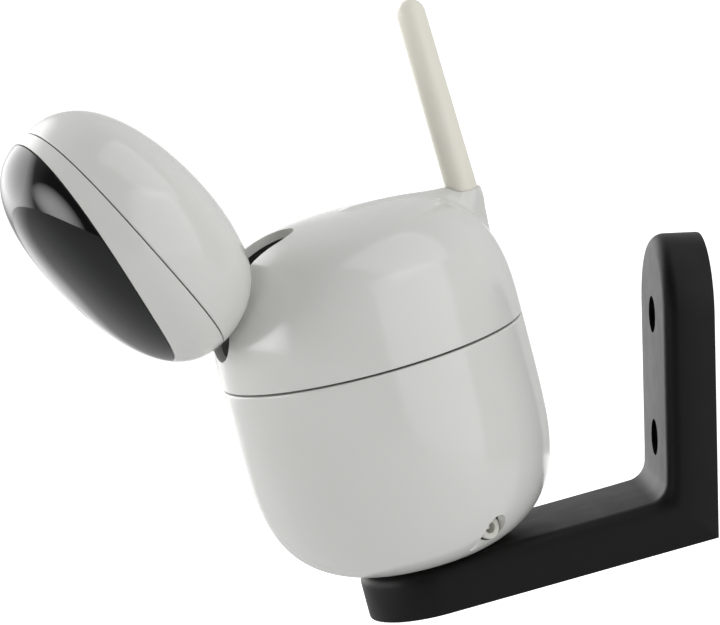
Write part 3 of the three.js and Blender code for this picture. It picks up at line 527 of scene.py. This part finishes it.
def slot_tool():
    """The neck's slot: an upright outline with a round foot, cut from the front to over the top."""
    half, back = SLOT_W / 2, -SLOT_BACK - SLOT_W / 2
    angles = np.radians(np.linspace(180, 360, 25))
    outline = [(half * math.cos(a), SLOT_LOW + half + half * math.sin(a)) for a in angles]
    outline += [(half, DOME_H + 6), (-half, DOME_H + 6)]
    front = [np.array([(x, y, z) for x, z in outline]) for y in (-BODY_R - 4, back)]
    end = circles([[0, 26], [half, 26], [half, DOME_H + 6], [0, DOME_H + 6]], 64)
    end = [ring + np.array([0, back, 0]) for ring in end]
    reach = box_rings((-half + 0.001, back - 12, 26), (half - 0.001, back, DOME_H + 7))
    return [skin("slot_front", front, TURRET), skin("slot_end", end, TURRET), skin("slot_top", reach, TURRET)]


def upper_shell():
    sides, rows = 288, 110
    angles = np.linspace(0, 2 * np.pi, sides, endpoint=False)
    centre = np.array([0.0, 0.0, GAP])
    rings = []
    for e in np.linspace(0, np.pi / 2, rows):
        directions = np.stack([np.cos(e) * np.cos(angles), np.cos(e) * np.sin(angles),
                               np.full(sides, np.sin(e))], -1)
        rings.append(turret_surface(directions, centre))
    power = 2 / DOME_POWER
    inner_r, inner_h = BODY_R - WALL, DOME_H - WALL
    inner = [[inner_r * max(math.cos(a), 0) ** power, max(inner_h * math.sin(a) ** power, GAP)]
             for a in np.linspace(np.pi / 2, 0, 40)]
    inside = circles(inner, sides)
    rim = rounded([inside[-1], rings[0], rings[1]], 0.5)[1:-1]
    shell = skin("turret_housing", inside + rim + rings[1:], TURRET)
    socket = cutter("socket", 4.6, -3.4, 9, ANTENNA, 64)
    finished(carve(shell, *slot_tool(), socket), "white_shell", "turret", "upper_shell")


def antenna():
    length, tip = ANTENNA_TOP - ANTENNA_FOOT, 4.05
    profile = [[0, 1.4], [4.35, 1.4], [4.33, 3]]
    turns = np.radians(np.linspace(0, 90, 14))
    profile += [[tip * math.cos(a), length - tip + tip * math.sin(a)] for a in turns]
    finished(skin("antenna_sleeve", rounded(circles(profile, 96), 0.25), ANTENNA), "cream_sleeve", "turret",
             "antenna")


# ---------- head ----------
def head_rings(start, end, rows, inset=0.0):
    """Rings of the head's form between two edges, each given as depths ahead of the widest section."""
    angles = np.linspace(0, 2 * np.pi, SIDES, endpoint=False)

    def turn_of(depth):
        front = np.arcsin(np.clip(depth / HEAD_FRONT, 0, 1) ** (FRONT_POWER / 2))
        back = np.arcsin(np.clip(-depth / HEAD_BACK, 0, 1) ** (BACK_POWER / 2))
        return np.where(depth >= 0, front, -back)

    a0, a1 = turn_of(start(angles)), turn_of(end(angles))
    rings = []
    for t in np.linspace(0, 1, rows):
        turn = a0 + (a1 - a0) * t
        cosine = np.maximum(np.cos(turn), 0)
        sine = np.abs(np.sin(turn))
        r = (HEAD_R - inset) * np.where(turn >= 0, cosine ** (2 / FRONT_POWER), cosine ** (2 / BACK_POWER))
        depth = np.where(turn >= 0, (HEAD_FRONT - inset) * sine ** (2 / FRONT_POWER),
                         -(HEAD_BACK - inset) * sine ** (2 / BACK_POWER))
        rings.append(np.stack([r * np.cos(angles), -depth, r * np.sin(angles)], -1))
    return rings


def seam_edge(angles, ahead=0.0):
    """The seam between the head's two shells sweeps forward at the sides."""
    return 0.87 + 2.9 * np.cos(angles) ** 2 - 0.76 * np.sin(angles) + ahead


def face_edge(angles, ahead=0.0):
    """The edge of the black face, leaning back at the top and swept forward at the sides."""
    return 9.28 - 0.15 * 34 * np.sin(angles) + 4.1 * np.cos(angles) ** 2 * 0.85 + ahead


def flat_to_axis(ring, share):
    """The same ring drawn in towards the lens axis."""
    drawn = ring.copy()
    drawn[:, [0, 2]] *= share
    return drawn


def axle_ball(radius):
    """A ball about the tilt axle."""
    turns = np.linspace(-np.pi / 2, np.pi / 2, 49)
    profile = [[radius * math.cos(t), radius * math.sin(t)] for t in turns]
    return skin("ball", circles(profile, 96), shifted(TURRET, (0, 0, TILT_Z)))


def back_point(angles):
    return np.full_like(angles, -HEAD_BACK)


def front_point(angles):
    return np.full_like(angles, HEAD_FRONT)


def head_cavity():
    """The hollow inside the head, short of the wall over the tilt axle."""
    whole = head_rings(back_point, front_point, 60, 2.0)
    return carve(skin("cavity", whole, HEAD), axle_ball(SADDLE_R + 2))


def rear_shell():
    hole = skin("neck_hole", box_rings((-6.0, -47.2, -4.5), (6.0, -30, 4.5)), NECK)
    back = head_rings(back_point, seam_edge, 70)
    rim = rounded([back[-2], back[-1], flat_to_axis(back[-1], 0.9)], 0.35)[1:-1]
    rear = skin("head_back_housing", back[:-1] + rim + [flat_to_axis(back[-1], 0)], HEAD)
    finished(carve(rear, axle_ball(SADDLE_R), head_cavity(), hole), "white_shell", "head", "head_rear_shell")


def front_bezel():
    front = head_rings(lambda a: seam_edge(a, 0.35), face_edge, 30)
    low = rounded([flat_to_axis(front[0], 0.9), front[0], front[1]], 0.35)[1:-1]
    high = rounded([front[-2], front[-1], flat_to_axis(front[-1], 0.9)], 0.3)[1:-1]
    rings = [flat_to_axis(front[0], 0)] + low + front[1:-1] + high + [flat_to_axis(front[-1], 0)]
    collar = skin("head_front_housing", rings, HEAD)
    finished(carve(collar, axle_ball(SADDLE_R), head_cavity()), "white_shell", "head", "head_front_bezel")


def mic_slit(x, z):
    """An upright slit through the cover, in the face's own frame."""
    half_w, half_h = 0.4, 2.3
    return skin("mic_slit", box_rings((x - half_w, -28, z - half_h), (x + half_w, -16, z + half_h)), FACE)


def face_cover():
    """The glossy black cover that carries on the head's form over the whole face."""
    outer = head_rings(lambda a: face_edge(a, 0.3), front_point, 90)
    inner = head_rings(lambda a: face_edge(a, 0.3), front_point, 40, COVER_T)
    rim = rounded([inner[0], outer[0], outer[1]], 0.3)[1:-1]
    cover = skin("face_gloss_cover", inner[::-1] + rim + outer[1:], HEAD)
    slits = [mic_slit(x, z) for x, z in MIC_SLITS]
    finished(carve(cover, *slits), "black_face", "head", "face_cover", angle=50)


def neck():
    """The neck between turret and head, with rounded edges."""
    half_w, half_h = NECK_W / 2, NECK_H / 2
    turns = np.linspace(0, 2 * np.pi, 48, endpoint=False)
    outline = np.stack([half_w * np.sign(np.cos(turns)) * np.abs(np.cos(turns)) ** 0.4,
                        half_h * np.sign(np.sin(turns)) * np.abs(np.sin(turns)) ** 0.4], -1)
    rings = [np.array([(x, -out, z) for x, z in outline * grow])
             for out, grow in ((3, 0), (3, 1), (47.5, 1), (47.5, 0))]
    finished(skin("neck_beam", rings, NECK), "natural_plastic", "head", "tilt_arm")


# ---------- CAD nodes that keep their own shape ----------
def dress_cad_nodes():
    slots = {part["node"]: part["material_slot"] for part in frame["record"]["subparts"]}
    for name, node in frame["nodes"].items():
        node.data.materials.clear()
        node.data.materials.append(MATERIALS[slots[name]])
        shade(node, 40)


# ---------- studio ----------
def area_light(name, place, aim, size, power):
    data = bpy.data.lights.new(name, "AREA")
    data.shape = "RECTANGLE"
    data.size, data.size_y = size
    data.energy = power
    lamp = bpy.data.objects.new(name, data)
    bpy.context.scene.collection.objects.link(lamp)
    lamp.location = place
    lamp.rotation_euler = (Vector(aim) - Vector(place)).to_track_quat("-Z", "Y").to_euler()


def glow(nodes, links, towards, aim, edge, full, strength):
    """Soft light from one part of the room: none beyond the edge cosine, all of it from the full one on."""
    near = nodes.new("ShaderNodeVectorMath")
    near.operation = "DOT_PRODUCT"
    near.inputs[1].default_value = Vector(aim).normalized()
    links.new(towards, near.inputs[0])
    return remapped(nodes, links, near.outputs["Value"], 0, strength, edge, full)


# Soft lights of the room: where from, edge cosine, full cosine and strength.
GLOWS = (((0.08, -0.98, -0.12), 0.90, 0.995, 5.0),  # key light, in front of the object
         ((-0.75, -0.65, 0.15), 0.84, 0.93, 2.6),  # pale wall, front and far
         ((-0.985, 0.055, -0.10), 0.966, 0.983, 0.7))  # white behind the object


def studio_world():
    """A bright room behind the object, dim on the camera's side, with a soft key and a pale far wall."""
    world = bpy.data.worlds.new("studio")
    world.use_nodes = True
    nodes, links = world.node_tree.nodes, world.node_tree.links
    where = nodes.new("ShaderNodeTexCoord")
    parts = nodes.new("ShaderNodeSeparateXYZ")
    links.new(where.outputs["Generated"], parts.inputs["Vector"])
    total = remapped(nodes, links, parts.outputs["X"], 0.62, 0.10, -0.6, 0.0)
    for aim, edge, full, strength in GLOWS:
        both = nodes.new("ShaderNodeMath")
        links.new(total, both.inputs[0])
        links.new(glow(nodes, links, where.outputs["Generated"], aim, edge, full, strength), both.inputs[1])
        total = both.outputs["Value"]
    links.new(total, nodes["Background"].inputs["Strength"])
    nodes["Background"].inputs["Color"].default_value = (1, 1, 1, 1)
    bpy.context.scene.world = world


def studio_floor():
    """A pale round floor well under the object, glowing behind it so that it meets the bright wall."""
    material, nodes, links, shader = graph_of("studio_floor")
    shades = tinted(nodes, links, remapped(nodes, links, noise(nodes, links, 3), 0, 1), (0.86, 0.86, 0.86),
                    (0.84, 0.84, 0.84))
    links.new(shades, shader.inputs["Base Color"])
    where = nodes.new("ShaderNodeTexCoord")
    parts = nodes.new("ShaderNodeSeparateXYZ")
    links.new(where.outputs["Object"], parts.inputs["Vector"])
    shine = remapped(nodes, links, parts.outputs["X"], 1.0, 0.0, -1.1, -0.7)
    links.new(shine, shader.inputs["Emission Strength"])
    shader.inputs["Emission Color"].default_value = (1, 1, 1, 1)
    shader.inputs["Roughness"].default_value = 0.9
    radius, height = 1.5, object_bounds()[0].z - 0.25
    rim = [(radius * math.cos(a), radius * math.sin(a), height) for a in np.linspace(0, 2 * np.pi, 96, False)]
    mesh = bpy.data.meshes.new("floor")
    mesh.from_pydata(rim, [], [list(range(len(rim)))])
    mesh.materials.append(material)
    floor = bpy.data.objects.new("floor", mesh)
    bpy.context.scene.collection.objects.link(floor)
    floor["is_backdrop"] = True


def studio():
    studio_floor()
    studio_world()
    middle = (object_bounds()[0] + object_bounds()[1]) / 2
    area_light("top", middle + Vector((0.3, 0.4, 1.3)), middle, (1.4, 1.4), 7)
    area_light("fill", middle + Vector((1.2, 0.9, 0.5)), middle, (1.8, 1.8), 14)
    bpy.context.scene.view_settings.view_transform = "Standard"


def camera():
    """The picture's own view of the object: from +X, a little above, and rolled."""
    azimuth, elevation, roll = (math.radians(degrees) for degrees in (86.82, 9.10, -14.97))
    place_in_base = (984.25, -55.23, 168.23)
    back = Vector((math.sin(azimuth) * math.cos(elevation), -math.cos(azimuth) * math.cos(elevation),
                   math.sin(elevation)))
    right = Vector((math.cos(azimuth), math.sin(azimuth), 0))
    up = back.cross(right)
    x = math.cos(roll) * right + math.sin(roll) * up
    y = -math.sin(roll) * right + math.cos(roll) * up
    turned = BASE @ Matrix.Translation(place_in_base) @ Matrix((x, y, back)).transposed().to_4x4()
    data = bpy.data.cameras.new("camera")
    data.lens, data.sensor_width, data.sensor_fit = 184.43, 36.0, "HORIZONTAL"
    shooter = bpy.data.objects.new("camera", data)
    bpy.context.scene.collection.objects.link(shooter)
    place, rotation, _ = turned.decompose()
    shooter.location, shooter.rotation_mode, shooter.rotation_quaternion = place, "QUATERNION", rotation
    bpy.context.scene.camera = shooter


dress_cad_nodes()
bracket()
base_shell()
power_key()
power_inlet()
upper_shell()
antenna()
rear_shell()
front_bezel()
face_cover()
neck()
studio()
camera()
